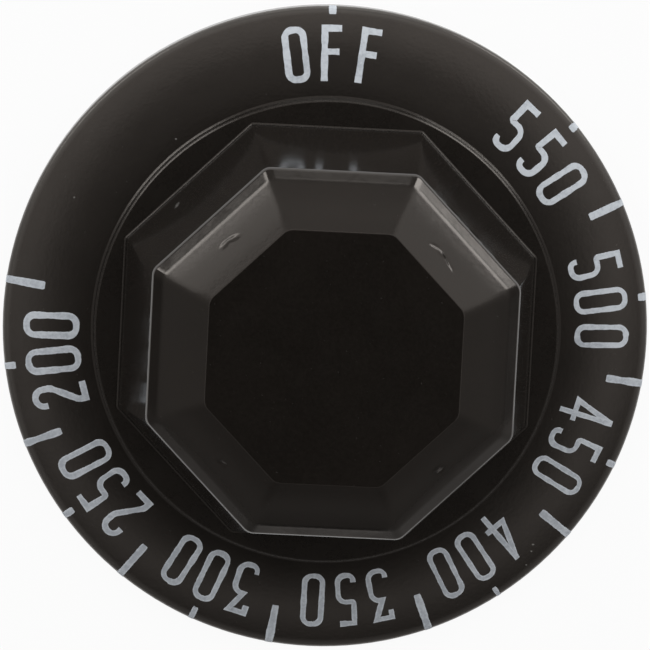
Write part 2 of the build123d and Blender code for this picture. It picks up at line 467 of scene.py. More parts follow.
def hollow_outline(plan, dial):
    """The hollow's mouth, its outline across a flat, the hub's side, and how far out the ribs reach.

    The hollow repeats the grip's outline, set in by the wall, and ends on a flat ceiling.
    """
    shoulder = set_in(plan.rim, plan.foot, plan.crown, dial.grip_wall)
    ceiling = set_in(plan.crown, plan.rim, (0, dial.top_z), dial.grip_wall)
    rib_foot = shoulder[0] + (shoulder[1] - dial.rib_recess) * plan.wall_slope
    mouth_half = shoulder[0] + (shoulder[1] - plan.recess_z(rib_foot)) * plan.wall_slope
    mouth = np.array([[mouth_half, plan.recess_z(mouth_half)]])
    hollow = rounded_path(
        [
            (rib_foot, dial.rib_recess),
            shoulder,
            ceiling,
            ((plan.hub_radius + ceiling[0]) / 2, ceiling[1]),
        ],
        [dial.hollow_round] * 2,
        PLAIN_ARC,
        HOLD,
    )
    hub = np.array([(plan.hub_radius, ceiling[1]), (plan.hub_radius, dial.rib_recess)])
    return mouth, hollow, hub, rib_foot


def bore_outlines(plan, dial, spring):
    """Outlines of the chamfered mouth, of the bore, and of the slot that takes their place beside the spring.

    The mouth is a straight slope and the slot's corner a quarter circle, both in the same steps. The bore
    stands twice at the slot's top, where the slot has its ceiling.
    """
    steps = np.linspace(0, 1, SMALL_ARC)
    chamfer = dial.mouth_chamfer * np.stack([1 - steps, steps], axis=1)
    mouth_ring = chamfer + (plan.lead_in_radius, dial.hub_recess)
    bore = np.array(
        [
            (plan.lead_in_radius, plan.socket_z),
            (plan.socket_radius, plan.socket_z),
            (plan.socket_radius, plan.slot_top_z),
            (plan.socket_radius, plan.slot_top_z),
            (plan.socket_radius, plan.socket_end_z),
            (plan.socket_radius / 2, plan.socket_end_z),
        ]
    )
    quarter = steps * math.pi / 2
    corner_round = spring.bend - spring.thickness / 2
    corner = corner_round * np.stack([1 - np.sin(quarter), 1 - np.cos(quarter)], axis=1)
    slot = np.concatenate(
        [
            [(plan.hub_radius, plan.notch_z)],
            corner + (plan.slot_floor, plan.notch_z),
            [
                (plan.slot_floor, plan.socket_z),
                (plan.slot_floor, (plan.socket_z + plan.slot_top_z) / 2),
                (plan.slot_floor, plan.slot_top_z),
                (plan.socket_flat, plan.slot_top_z),
            ],
        ]
    )
    return mouth_ring, bore, slot


def moulding_columns(plan, dial):
    """Angles of the grid's columns from the slot's side, for half the dial, and what each column crosses.

    The columns are close together round the octagon's corners and a few degrees apart elsewhere. At each
    side of the slot and of the ribs there are two columns, one for the face inside and one for the face
    outside, so that the upright side between them is a wall of its own.
    """
    column_degrees = 2.25
    corner_columns, crowding = 21, 1.5
    zone_turn, hold_turn, corner_room, edge_room = np.radians([2.7, 3.1, 3.6, 0.7])
    slot_edge = math.asin(plan.slot_half / plan.hub_radius)
    rib_edge = math.atan(dial.rib_thickness / 2 / plan.grip_half)
    rib_edges = (RIB_TURNS[:, None] + [-rib_edge, rib_edge]).ravel()
    edges = np.concatenate([[0, slot_edge], rib_edges, [math.pi]])
    corners = HALF_SIDE * np.array([1, 3, 5, 7])
    share = np.linspace(-1, 1, corner_columns)
    fine = zone_turn * np.sign(share) * np.abs(share) ** crowding
    coarse = np.radians(np.arange(column_degrees, 180, column_degrees))
    near_corner = np.abs(coarse[:, None] - corners).min(axis=1) < corner_room
    near_edge = np.abs(coarse[:, None] - edges).min(axis=1) < edge_room
    zones = (corners[:, None] + np.concatenate([fine, [-hold_turn, hold_turn]])).ravel()
    plain = np.concatenate([[0], coarse[~near_corner & ~near_edge], zones, [math.pi]])
    doubled = np.repeat(edges[1:-1], 2)
    inside = np.concatenate([np.zeros(plain.size, bool), np.arange(doubled.size) % 2 == 0])
    return np.concatenate([plain, doubled]), edges, inside


def moulding_surface(plan, dial, spring):
    """Points of the whole moulding as rings about the shaft axis, from the flat top round to the socket."""
    mouth, hollow, hub, rib_foot = hollow_outline(plan, dial)
    mouth_ring, bore, slot = bore_outlines(plan, dial, spring)
    hub_end = np.array([(plan.hub_radius, dial.hub_recess)])
    front = [grip_outline(plan, dial), turned_outline(plan, dial)]
    sections = [*front, mouth, hollow, hub, hub_end, mouth_ring, bore]
    starts = np.cumsum([0] + [len(section) for section in sections])
    rings = np.concatenate(sections)
    reach, height = rings[:, :1], rings[:, 1:]
    octagonal = np.zeros((len(rings), 1), bool)
    octagonal[starts[0] : starts[1]] = True
    octagonal[starts[2] : starts[4]] = True
    climb = np.clip((height - plan.plateau_z) / (plan.rim_z - plan.plateau_z), 0, 1)
    corner = dial.foot_corner_round + (dial.corner_round - dial.foot_corner_round) * climb
    corner[starts[2] :] = dial.foot_corner_round

    # Angles of each ring's columns: they are drawn aside where the slot or the ribs need it
    base, edges, inside = moulding_columns(plan, dial)
    slot_turn = np.full(len(rings), edges[1])
    rib_turn = np.full(len(rings), RIB_TURNS[0] - edges[2])
    hollow_rows = slice(starts[3], starts[4])
    rib_turn[hollow_rows] = np.arctan(dial.rib_thickness / 2 / rings[hollow_rows, 0])
    rib_turn[starts[4] :] = math.asin(dial.rib_thickness / 2 / plan.hub_radius)
    slot_rows = slice(starts[5], starts[7])
    slot_turn[slot_rows] = np.arcsin(plan.slot_half / rings[slot_rows, 0])
    slot_turn[starts[7]] = slot_turn[starts[7] - 1]
    slot_turn[starts[7] + 1 :] = math.atan2(plan.slot_half, plan.socket_flat)
    rib_sides = np.repeat(RIB_TURNS, 2) + np.array([-1, 1, -1, 1]) * rib_turn[:, None]
    ends = np.zeros((len(rings), 1))
    keys = np.concatenate([ends, slot_turn[:, None], rib_sides, ends + math.pi], axis=1)
    room_by_slot = np.radians([8, 16])
    keys[:, 2:4] = np.maximum(keys[:, 2:4], keys[:, 1:2] + room_by_slot)
    angle = np.stack([np.interp(base, edges, row) for row in keys])

    radius = np.where(octagonal, octagon_radius(angle, reach, corner), reach)
    socket_rows = slice(starts[7] + 1, None)
    toward_flat = np.maximum(np.cos(angle[socket_rows]), TINY)
    flat_share = reach[socket_rows] / plan.socket_radius
    radius[socket_rows] = np.minimum(radius[socket_rows], flat_share * plan.socket_flat / toward_flat)
    height = np.broadcast_to(height, radius.shape).copy()
    height[starts[2]] = plan.recess_z(radius[starts[2]])
    across = radius * np.sin(angle)
    toward = radius * np.cos(angle)

    # The columns in the slot follow the slot's own outline, and its foot the hub's round side
    in_slot = (base < edges[1]) | (inside & np.isclose(base, edges[1]))
    aside = plan.slot_half * base[in_slot] / edges[1]
    rows = slice(starts[5], starts[5] + len(slot))
    across[rows, in_slot] = aside
    toward[rows, in_slot] = slot[:, :1]
    height[rows, in_slot] = slot[:, 1:]
    toward[starts[5], in_slot] = np.sqrt(plan.hub_radius**2 - aside**2)

    # The columns in a rib run straight from the hollow's wall to the hub
    rib_rows = slice(starts[3], starts[5])
    along_share = np.linspace(0, 1, starts[5] - starts[3])[:, None]
    for centre, low, high in zip(RIB_TURNS, edges[2:6:2], edges[3:6:2]):
        on_edge = np.isclose(base, low) | np.isclose(base, high)
        in_rib = ((base > low) & (base < high) & ~on_edge) | (inside & on_edge)
        side = dial.rib_thickness / 2 * (base[in_rib] - centre) / (high - centre)
        hub_reach = np.sqrt(plan.hub_radius**2 - side**2)
        along = rib_foot + (hub_reach - rib_foot) * along_share
        toward[rib_rows, in_rib] = along * math.cos(centre) - side * math.sin(centre)
        across[rib_rows, in_rib] = along * math.sin(centre) + side * math.cos(centre)
        height[rib_rows, in_rib] = dial.rib_recess

    # Columns run once round: one half from the slot, then its mirror image
    rank = np.where(inside, 0.0, 1.0)
    leaving = np.isclose(base[:, None], edges[[1, 3, 5]]).any(axis=1)
    order = np.lexsort((np.where(leaving, rank, -rank), base))
    mirror = order[::-1][1:-1]
    across = np.concatenate([across[:, order], -across[:, mirror]], axis=1)
    toward = np.concatenate([toward[:, order], toward[:, mirror]], axis=1)
    height = np.concatenate([height[:, order], height[:, mirror]], axis=1)
    return np.stack([across, -toward, height], axis=-1)


def close_poles(points):
    """The grid's points with one more at each end, and the fans of triangles that close it there."""
    rows, columns, _ = points.shape
    first = points[0].mean(axis=0)
    last = points[-1].mean(axis=0)
    everything = np.concatenate([points.reshape(-1, 3), [first, last]])
    column = np.arange(columns)
    beside = (column + 1) % columns
    top = np.stack([np.full(columns, rows * columns), beside, column], axis=1)
    start = (rows - 1) * columns
    end = np.stack([np.full(columns, rows * columns + 1), start + column, start + beside], axis=1)
    return everything, list(grid_faces(rows, columns, True)) + list(top) + list(end)


def swept_strip(path, half_width, section, closed):
    """A section carried along a flat path: points (u, v) of the path moved sideways, and a height.

    A section point is a share of the half width, one from side to side, and a height. Sideways is square
    to the mean of the two runs that meet at a path point, and longer there by 1 / cos(half the turn), but
    no more than twice as long.
    """
    ahead = np.roll(path, -1, axis=0) - path
    behind = path - np.roll(path, 1, axis=0)
    if not closed:
        ahead[-1] = behind[-1]
        behind[0] = ahead[0]
    ahead = ahead / np.linalg.norm(ahead, axis=1, keepdims=True)
    behind = behind / np.linalg.norm(behind, axis=1, keepdims=True)
    mean = ahead + behind
    mean = mean / np.linalg.norm(mean, axis=1, keepdims=True)
    longest_stretch = 2
    stretch = 1 / np.maximum(np.sum(mean * ahead, axis=1), 1 / longest_stretch)
    side = np.stack([-mean[:, 1], mean[:, 0]], axis=1) * (half_width * stretch)[:, None]
    shares, heights = np.asarray(section, float).T
    flat = path[:, None] + side[:, None] * shares[None, :, None]
    height = np.broadcast_to(heights, flat.shape[:2])
    return np.concatenate([flat, height[..., None]], axis=-1)


def strip_faces(rows, columns, closed, first):
    """Faces of a swept strip whose points start at a number: its sides, and its ends if it isn't closed."""
    loops = rows + 1 if closed else rows
    quads = grid_faces(loops, columns, True) % (rows * columns)
    ends = [] if closed else [np.arange(columns)[::-1], np.arange(columns) + (rows - 1) * columns]
    return [face + first for face in list(quads) + ends]


# Printed scale

# Characters as strokes: corner points in half widths and half heights, the corners' radii in half widths,
# and whether the stroke closes on itself. A character's own width comes first.
LOOP = [(0, 1), (1, 1), (1, -1), (-1, -1), (-1, 1), (0, 1)]
TWO = [(-1, 0.55), (-1, 1), (1, 1), (1, 0.32), (-1, -0.72), (-1, -1), (1, -1)]
THREE = [(-1, 0.68), (-1, 1), (0.9, 1), (-0.2, 0.22), (1, 0.22), (1, -1), (-1, -1), (-1, -0.68)]
FIVE = [(1, 1), (-0.88, 1), (-0.95, 0.1), (1, 0.1), (1, -1), (-1, -1), (-1, -0.7)]
FOUR_ARMS, FOUR_STEM = [(0.34, 1.05), (-1.05, -0.5), (1.15, -0.5)], [(0.34, 1.12), (0.34, -1.13)]
F_STEM, F_ARM = [(-1, -1.13), (-1, 1), (1, 1)], [(-1, 0.06), (0.72, 0.06)]
LETTERFORMS = {
    "0": (1.0, [(LOOP, [0.85] * 4, True)]),
    "2": (0.88, [(TWO, [1.0, 1.0, 1.4, 0.9, 0.0], False)]),
    "3": (0.95, [(THREE, [0.0, 0.0, 0.0, 1.0, 1.0, 0.7], False)]),
    "4": (1.08, [(FOUR_ARMS, [0.0], False), (FOUR_STEM, [], False)]),
    "5": (0.88, [(FIVE, [0.0, 0.25, 1.0, 1.0, 0.7], False)]),
    "O": (0.91, [(LOOP, [0.8] * 4, True)]),
    "F": (0.85, [(F_STEM, [0.0], False), (F_ARM, [], False)]),
}

# Words of the scale and their place, in degrees clockwise from OFF
SCALE_WORDS = {
    "OFF": 0.4,
    "550": 50.0,
    "500": 83.55,
    "450": 114.75,
    "400": 146.3,
    "350": 175.1,
    "300": 204.05,
    "250": 233.55,
    "200": 262.65,
}
LONG_TICKS = (66.1, 99.2, 129.7, 160.3, 189.4, 219.0, 248.3, 278.3)
# Short ticks stand over the words. Their length and width are shares of the full tick: one is rubbed
# away, one is worn to a dot and one has a thin end.
SHORT_TICKS = {
    "OFF": (1.0, 1.0),
    "550": (1.0, 1.0),
    "500": (1.0, 1.0),
    "450": (1.0, 0.85),
    "400": (1.05, 0.6),
    "300": (1.4, 0.75),
    "250": (1.05, 0.9),
    "200": (1.05, 0.95),
}
# Points across a stroke, as shares of its half width: where they lie, and where the ink's colour puts them
FILM_ACROSS = (-1.0, -0.93, 0.93, 1.0)
COLOUR_ACROSS = np.array([-1, -0.9, 0.9, 1])
# Room that a sharp corner needs, how far a second stroke lies over the first, and a tick's narrow inner end
CORNER_SHARE = 0.55
LAYER_SHARE = 0.15
TICK_END = 0.8


def ink_section(scale):
    """Section of the ink: a flat film with sloped sides, whose underside lies in the moulding."""
    heights = [-scale.ink_sink, scale.ink_height, scale.ink_height, -scale.ink_sink]
    return np.stack([FILM_ACROSS, heights], axis=1)


def stroke_uv(count):
    """Stroke coordinates of a strip: from -1 to 1 across it, and millimetres along it."""
    along = np.arange(count)[:, None] * INK_STEP / MM
    return np.stack(np.broadcast_arrays(COLOUR_ACROSS, along), axis=-1).reshape(-1, 2)


def clear_of(path, corners, room):
    """The path without the points that crowd a sharp corner, which would fold the inside of its stroke."""
    gap = np.linalg.norm(path[:, None] - corners[None], axis=-1)
    crowding = ((gap > MERGE_GAP) & (gap < room)).any(axis=1)
    crowding[[0, -1]] = False
    return path[~crowding]


def wandering(count, amount, draw):
    """Shares near one that wander smoothly: random numbers averaged with their neighbours."""
    span = 5
    rough = draw.normal(size=count + span - 1)
    smooth = np.convolve(rough, np.ones(span) / span, mode="valid")
    return 1 + amount * smooth


def word_points(word, centre, scale, plan, draw):
    """Points, faces and stroke coordinates of one word, laid on the skirt's front.

    A character stands upright on its own radius: its middle is at the middle radius and u runs clockwise,
    v outwards. A point's height is that of the domed cone at its radius plus the ink's own.
    """
    section = ink_section(scale)
    points, faces, uv, first = [], [], [], 0
    for place, character in enumerate(word):
        width, strokes = LETTERFORMS[character]
        pitch = scale.pitch * (1 + scale.squeeze * math.cos(centre))
        middle = centre + (place - (len(word) - 1) / 2) * pitch
        press = math.cos(middle - scale.press_turn)
        half_width = scale.half_width * width * (1 + scale.press_width * press)
        half_height = scale.half_height * (1 - scale.stretch * math.cos(centre))
        stroke = scale.stroke * (1 + scale.press_stroke * press)
        out = np.array([math.sin(middle), math.cos(middle)])
        clockwise = np.array([math.cos(middle), -math.sin(middle)])
        for layer, (corners, radii, closed) in enumerate(strokes):
            corners = np.asarray(corners) * (half_width, half_height)
            radii = np.asarray(radii) * half_width
            path = subdivided(rounded_path(corners, radii, FINE_ARC), INK_STEP)
            path = clear_of(path, corners[1:-1][radii == 0], stroke * CORNER_SHARE)
            if closed:
                path = path[:-1]
            half = stroke / 2 * wandering(len(path), scale.roughness, draw)
            strip = swept_strip(path, half, section, closed)
            flat = out * (scale.middle_radius + strip[..., 1:2]) + clockwise * strip[..., :1]
            flat = flat + (scale.shift_right, scale.shift_up)
            lift = strip[..., 2] + layer * scale.ink_height * LAYER_SHARE
            radius = np.linalg.norm(flat, axis=-1)
            height = plan.cone_z(radius) + plan.dome(radius) + lift
            points.append(np.concatenate([flat, height[..., None]], axis=-1).reshape(-1, 3))
            faces += strip_faces(len(path), len(section), closed, first)
            uv.append(stroke_uv(len(path)))
            first += points[-1].shape[0]
    return np.concatenate(points), faces, np.concatenate(uv)


def tick_points(angle, inner_radius, width, scale, plan, dial, draw):
    """Points, faces and stroke coordinates of one tick, from its inner end over the skirt's edge.

    The tick follows the skirt's outline: out along the front, round the edge and a little way down it. A
    section point stands off the outline along the outline's own normal.
    """
    inner_radius = inner_radius + scale.shift_right * math.sin(angle) + scale.shift_up * math.cos(angle)
    outline = rounded_path(
        [
            (inner_radius, plan.cone_z(inner_radius)),
            (plan.skirt_radius, plan.edge_height),
            (plan.skirt_radius, plan.edge_height - dial.edge_round - scale.tick_drop),
        ],
        [dial.edge_round],
        FINE_ARC,
    )
    outline = subdivided(outline, INK_STEP)
    outline[:, 1] += plan.dome(outline[:, 0])
    run = np.gradient(outline, axis=0)
    run = run / np.linalg.norm(run, axis=1, keepdims=True)
    normal = np.stack([-run[:, 1], run[:, 0]], axis=1)
    section = ink_section(scale)
    half = width / 2 * wandering(len(outline), scale.roughness, draw)
    half[0] *= TICK_END
    stand = outline[:, None] + normal[:, None] * section[None, :, 1:2]
    sideways = half[:, None] * section[None, :, 0]
    out = np.array([math.sin(angle), math.cos(angle)])
    clockwise = np.array([math.cos(angle), -math.sin(angle)])
    flat = stand[..., :1] * out + sideways[..., None] * clockwise
    points = np.concatenate([flat, stand[..., 1:2]], axis=-1)
    faces = strip_faces(len(outline), len(section), False, 0)
    return points.reshape(-1, 3), faces, stroke_uv(len(outline))


def joined(parts):
    """Several sets of points, faces and stroke coordinates as one."""
    points, faces, uv, first = [], [], [], 0
    for part_points, part_faces, part_uv in parts:
        points.append(part_points)
        uv.append(part_uv)
        faces += [face + first for face in part_faces]
        first += len(part_points)
    return np.concatenate(points), faces, np.concatenate(uv)


# Shader maths


class Socket:
    """A shader output that adds Math nodes when it is used in an expression."""

    def __init__(self, shader, output):
        self.shader = shader
        self.output = output

    def maths(self, operation, *values):
        return self.shader.node("ShaderNodeMath", {"operation": operation}, list(values))

    def __add__(self, other):
        return self.maths("ADD", self, other)

    def __radd__(self, other):
        return self.maths("ADD", other, self)

    def __sub__(self, other):
        return self.maths("SUBTRACT", self, other)

    def __rsub__(self, other):
        return self.maths("SUBTRACT", other, self)

    def __mul__(self, other):
        return self.maths("MULTIPLY", self, other)

    def __rmul__(self, other):
        return self.maths("MULTIPLY", other, self)

    def __truediv__(self, other):
        return self.maths("DIVIDE", self, other)

    def __abs__(self):
        return self.maths("ABSOLUTE", self)

    def higher(self, other):
        return self.maths("MAXIMUM", self, other)

    def root(self):
        return self.maths("SQRT", self)


class Shader:
    """The node tree of a material or of the world, and the one way nodes are added to it."""

    def __init__(self, owner):
        self.owner = owner
        owner.use_nodes = True
        self.tree = owner.node_tree
        self.tree.nodes.clear()

    def node(self, kind, settings=None, sockets=None, output=0):
        """Adds a node of a type, sets its settings and then its sockets, and gives one of its outputs."""
        node = self.tree.nodes.new(kind)
        for name, value in (settings or {}).items():
            if name == "stops":
                self.ramp(node.color_ramp, value)
            else:
                setattr(node, name, value)
        pairs = enumerate(sockets) if isinstance(sockets, (list, tuple)) else (sockets or {}).items()
        for key, value in pairs:
            if value is None:
                continue
            if isinstance(value, Socket):
                self.tree.links.new(value.output, node.inputs[key])
            else:
                node.inputs[key].default_value = value
        return Socket(self, node.outputs[output]) if node.outputs else None

    def ramp(self, ramp, stops):
        """Gives a ramp its stops, each a place and a grey."""
        while len(ramp.elements) > len(stops):
            ramp.elements.remove(ramp.elements[-1])
        while len(ramp.elements) < len(stops):
            ramp.elements.new(1)
        for element, (place, value) in zip(ramp.elements, stops):
            element.position = place
            element.color = (value, value, value, 1)

    def place(self):
        """Object coordinates, as a vector and as x, y and z."""
        vector = self.node("ShaderNodeTexCoord", output="Object")
        return vector, *self.axes(vector)

    def axes(self, vector):
        """The x, y and z of a vector."""
        return [self.node("ShaderNodeSeparateXYZ", None, [vector], axis) for axis in "XYZ"]

    def noise(self, vector, size, detail=2.0, rough=0.5, distortion=0.0):
        """Noise whose features are about a size in metres."""
        sockets = {"Vector": vector, "Scale": 1 / size, "Detail": detail}
        sockets.update({"Roughness": rough, "Distortion": distortion})
        return self.node("ShaderNodeTexNoise", None, sockets, "Fac")

    def ease(self, value, low, high, start=0.0, end=1.0):
        """A smooth step from start to end as the value goes from low to high."""
        return self.node(
            "ShaderNodeMapRange", {"interpolation_type": "SMOOTHSTEP"}, [value, low, high, start, end]
        )

    def mix(self, share, first, second):
        """A mix of two colours."""
        sockets = {0: share, 6: self.rgba(first), 7: self.rgba(second)}
        return self.node("ShaderNodeMix", {"data_type": "RGBA"}, sockets, 2)

    @staticmethod
    def rgba(value):
        return value if isinstance(value, Socket) else (*value, 1)

    def bump(self, height, strength, distance, normal=None):
        """A bump from a height."""
        sockets = {"Height": height, "Strength": strength, "Distance": distance}
        if normal is not None:
            sockets["Normal"] = normal
        return self.node("ShaderNodeBump", None, sockets, "Normal")

    def stepped(self, value, stops):
        """A value that goes in straight runs from stop to stop, each a place and the value there."""
        return self.node("ShaderNodeValToRGB", {"stops": stops}, [value])

    def mark(self, vector, place, half_length, half_width, degrees):
        """How near a place is to the middle of a long mark seen from the front: 1 there, 0 at its edge.

        The place is turned and scaled so that the mark is a circle of radius 1.
        """
        sockets = {
            "Vector": vector,
            "Location": (place[0] * MM, place[1] * MM, 0),
            "Rotation": (0, 0, math.radians(degrees)),
            "Scale": (half_length * MM, half_width * MM, 1),
        }
        local = self.node("ShaderNodeMapping", {"vector_type": "TEXTURE"}, sockets)
        away = self.node("ShaderNodeVectorMath", {"operation": "LENGTH"}, [local], "Value")
        return self.ease(away, 1, 0)

    def marks(self, vector, rows):
        """The sum of marks, each times the share that ends its row."""
        return sum(share * self.mark(vector, *mark) for *mark, share in rows)

    def principled(self, sockets):
        """Joins a principled surface with these sockets to the output and gives the material."""
        return self.finish(self.node("ShaderNodeBsdfPrincipled", None, sockets))

    def finish(self, surface, output="ShaderNodeOutputMaterial"):
        """Joins a surface to the output and gives the material or world."""
        self.node(output, None, {"Surface": surface})
        return self.owner


# Dents and small ridges on the front: middle, half length and half width in millimetres, direction of the
# long side in degrees, and how far it stands out, as a share of the full mark height
MARKS = (
    ((-10.75, 10.1), 0.85, 0.34, 50, 0.9),
    ((-9.95, 10.75), 1.0, 0.34, 31, 1.0),
    ((8.93, 10.97), 0.9, 0.26, -28, -1.0),
    ((10.27, 9.48), 1.45, 0.26, -59, -1.0),
    ((9.5, 10.3), 0.8, 0.24, -45, 0.7),
    ((-9.91, -10.5), 0.85, 0.3, -34, -1.15),
    ((10.3, -10.02), 1.0, 0.26, 44, 0.8),
    ((10.6, -10.3), 0.9, 0.22, 44, -0.8),
)
# Stretches of the rim that are rubbed dull: middle, half length, half width, direction, and how dull
RUBBED = (
    ((12.0, -12.0), 16, 2.2, 45, 0.38),
    ((-12.0, -12.0), 16, 2.0, -45, 0.2),
    ((17.0, 0.5), 16, 2.0, 90, 0.1),
)
# Pale specks: middle, half length and half width in millimetres, direction, and how pale
SPECKS = (
    ((-15.25, 12.15), 0.5, 0.13, 50, 0.3),
    ((21.6, -20.4), 0.2, 0.14, 0, 0.5),
    ((21.48, -21.1), 0.14, 0.13, 0, 0.5),
    ((21.07, -22.52), 0.14, 0.12, 0, 0.4),
    ((-25.28, 11.83), 0.16, 0.14, 0, 0.35),
    ((-15.63, 18.08), 0.14, 0.13, 0, 0.4),
)


def moulding_material(plan, finish):
    """Moulded phenolic: a warm black, clouded and finely uneven, shinier on the walls than on the crown."""
    shader = Shader(bpy.data.materials.new("black_moulding"))
    vector, x, y, z = shader.place()
    cloud = shader.noise(vector, 9 * MM, detail=3.0, rough=0.6)
    grain = shader.noise(vector, 0.35 * MM, detail=3.0, rough=0.6)
    patch = shader.noise(vector, 3.5 * MM, distortion=0.4)
    specks = shader.noise(vector, 0.3 * MM, detail=1.0)

    # Zones by height, and the skirt's outer edge, where light is painted into the colour, by the distance
    # from the axis
    fade = 0.4 * MM
    on_skirt = shader.ease(z, plan.plateau_z, plan.plateau_z - fade)
    on_wall = shader.ease(z, plan.plateau_z, plan.plateau_z + fade)
    on_rim = shader.ease(z, plan.rim_z - 0.9 * MM, plan.rim_z - 0.3 * MM)
    on_crown = shader.ease(z, plan.bevel_z - 0.3 * MM, plan.bevel_z + 0.2 * MM)
    from_axis = (x * x + y * y).root()
    on_painted_edge_light = shader.ease(from_axis, plan.skirt_radius - 0.9 * MM, plan.skirt_radius + 0.1 * MM)

    clouded = shader.ease(cloud + 0.6 * (grain - 0.5), 0.3, 0.75)
    tone = shader.mix(clouded, finish.moulding, finish.moulding_light)
    # Painted light: a lighter colour round the skirt's outer edge
    tone = shader.mix(on_painted_edge_light, tone, finish.painted_edge_light)
    pale = shader.marks(vector, SPECKS) + shader.ease(specks, 0.75, 0.86, end=0.06)
    tone = shader.mix(pale, tone, finish.dust)

    gloss = finish.plateau_gloss + (finish.moulding_gloss - finish.plateau_gloss) * on_skirt
    gloss = gloss + (finish.wall_gloss - finish.plateau_gloss) * on_wall
    gloss = gloss + (finish.crown_gloss - finish.wall_gloss) * on_crown
    uneven = 0.08 * (patch - 0.5) + 0.08 * (grain - 0.5)
    roughness = gloss + uneven + shader.marks(vector, RUBBED) * on_rim

    wall_polish = 0.9
    grainy = grain * (1 - wall_polish * on_wall + wall_polish * on_crown)
    fine = shader.bump(grainy, strength=0.4, distance=0.02 * MM)
    wavy = shader.bump(patch, strength=0.05, distance=0.25 * MM, normal=fine)
    marked = shader.bump(shader.marks(vector, MARKS), strength=1.0, distance=0.05 * MM, normal=wavy)
    sockets = {"Base Color": tone, "Roughness": roughness, "Normal": marked}
    sockets.update({"IOR": 1.5, "Specular Tint": (*finish.sheen, 1)})
    return shader.principled(sockets)


def ink_material(finish):
    """Stamped white ink: thin in places, with a fine mottle, and with painted shade along the strokes away
    from OFF.
    """
    shader = Shader(bpy.data.materials.new("figure_ink"))
    vector, _, y, _ = shader.place()
    mottle = shader.noise(vector, 0.4 * MM, detail=3.0, rough=0.65)
    patch = shader.noise(vector, 3.0 * MM)
    across = shader.axes(shader.node("ShaderNodeTexCoord", output="UV"))[0]
    core = shader.ease(abs(across), 0.85, 0.3)
    # Painted shade: the ink darkens along the strokes' middles away from OFF, mixed in with the thin patches
    shade_away_from_off = shader.ease(y, 15 * MM, -20 * MM)
    thin = shader.ease(mottle * 0.7 + patch * 0.5 + shade_away_from_off * core * 0.16, 0.52, 0.87)
    return shader.principled(
        {
            "Base Color": shader.mix(thin, finish.ink, finish.ink_thin_and_shaded),
            "Roughness": 0.55 + 0.2 * mottle,
            "Normal": shader.bump(mottle, strength=0.15, distance=0.02 * MM),
        }
    )


def steel_material(finish):
    """Rolled spring steel: fine streaks along the strip and a faint tint."""
    shader = Shader(bpy.data.materials.new("spring_steel"))
    vector = shader.place()[0]
    stretched = shader.node("ShaderNodeMapping", None, {"Vector": vector, "Scale": (8.0, 1.0, 0.6)})
    streak = shader.noise(stretched, 0.5 * MM, detail=3.0, rough=0.6)
    stain = shader.noise(vector, 2.0 * MM)
    darker = tuple(0.6 * channel for channel in finish.steel)
    return shader.principled(
        {
            "Base Color": shader.mix(shader.ease(stain, 0.45, 0.75), finish.steel, darker),
            "Metallic": 1.0,
            "Roughness": 0.24 + 0.2 * streak,
            "Normal": shader.bump(streak, strength=0.1, distance=0.02 * MM),
        }
    )


def floor_material():
    """A white table that the camera and reflections see nearly at full white, with a soft shadow."""
    shader = Shader(bpy.data.materials.new("white_table"))
    path = "ShaderNodeLightPath"
    seen = shader.node(path, output="Is Camera Ray").higher(shader.node(path, output="Is Glossy Ray"))
    seen = seen.higher(shader.node(path, output="Is Transmission Ray"))
    diffuse = shader.node("ShaderNodeBsdfDiffuse", None, {"Color": (0.9, 0.9, 0.9, 1)})
    glow = shader.node("ShaderNodeEmission", None, {"Color": (1, 1, 1, 1), "Strength": 1.0})
    glow_share = 0.94
    return shader.finish(shader.node("ShaderNodeMixShader", None, [seen * glow_share, diffuse, glow]))


# Operators


def settings():
    """The property groups of this scene."""
    scene = bpy.context.scene
    return scene.dial_sizes, scene.dial_spring, scene.dial_scale, scene.dial_finish, scene.dial_stage


class DIAL_OT_moulding(bpy.types.Operator):
    """Build the black moulding with its skirt, step, grip and hollow back"""

    bl_idname = "dial.moulding"
    bl_label = "Moulding"

    def execute(self, context):
        dial, spring, _, finish, _ = settings()
        plan = MouldingPlan(dial, spring)
        points, faces = close_poles(moulding_surface(plan, dial, spring))
        piece = new_piece("moulding", points, faces, moulding_material(plan, finish), MOULDING_CREASE)
        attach(piece, "root")
        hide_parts("dial")
        return {"FINISHED"}


class DIAL_OT_figures(bpy.types.Operator):
    """Print OFF and the temperatures on the skirt"""

    bl_idname = "dial.figures"
    bl_label = "Figures"

    def execute(self, context):
        dial, spring, scale, finish, _ = settings()
        plan = MouldingPlan(dial, spring)
        draw = np.random.default_rng(FIGURE_SEED)
        words = [
            word_points(word, math.radians(place) + scale.print_turn, scale, plan, draw)
            for word, place in SCALE_WORDS.items()
        ]
        points, faces, uv = joined(words)
        piece = new_piece("figures", points, faces, ink_material(finish), INK_CREASE, uv)
        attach(piece, "root")
        return {"FINISHED"}


class DIAL_OT_ticks(bpy.types.Operator):
    """Print the ticks at the skirt's edge"""

    bl_idname = "dial.ticks"
    bl_label = "Ticks"

    def execute(self, context):
        dial, spring, scale, _, _ = settings()
        plan = MouldingPlan(dial, spring)
        draw = np.random.default_rng(TICK_SEED)
        edge = dial.skirt_radius - dial.edge_round
        rows = [(place, scale.long_tick_radius, scale.tick_width) for place in LONG_TICKS]
        for word, (reach, share) in SHORT_TICKS.items():
            inner = edge - (edge - scale.short_tick_radius) * reach
            rows.append((SCALE_WORDS[word], inner, scale.tick_width * share))
        ticks = [
            tick_points(math.radians(place) + scale.print_turn, inner, width, scale, plan, dial, draw)
            for place, inner, width in rows
        ]
        points, faces, uv = joined(ticks)
        piece = new_piece("ticks", points, faces, bpy.data.materials["figure_ink"], INK_CREASE, uv)
        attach(piece, "root")
        return {"FINISHED"}


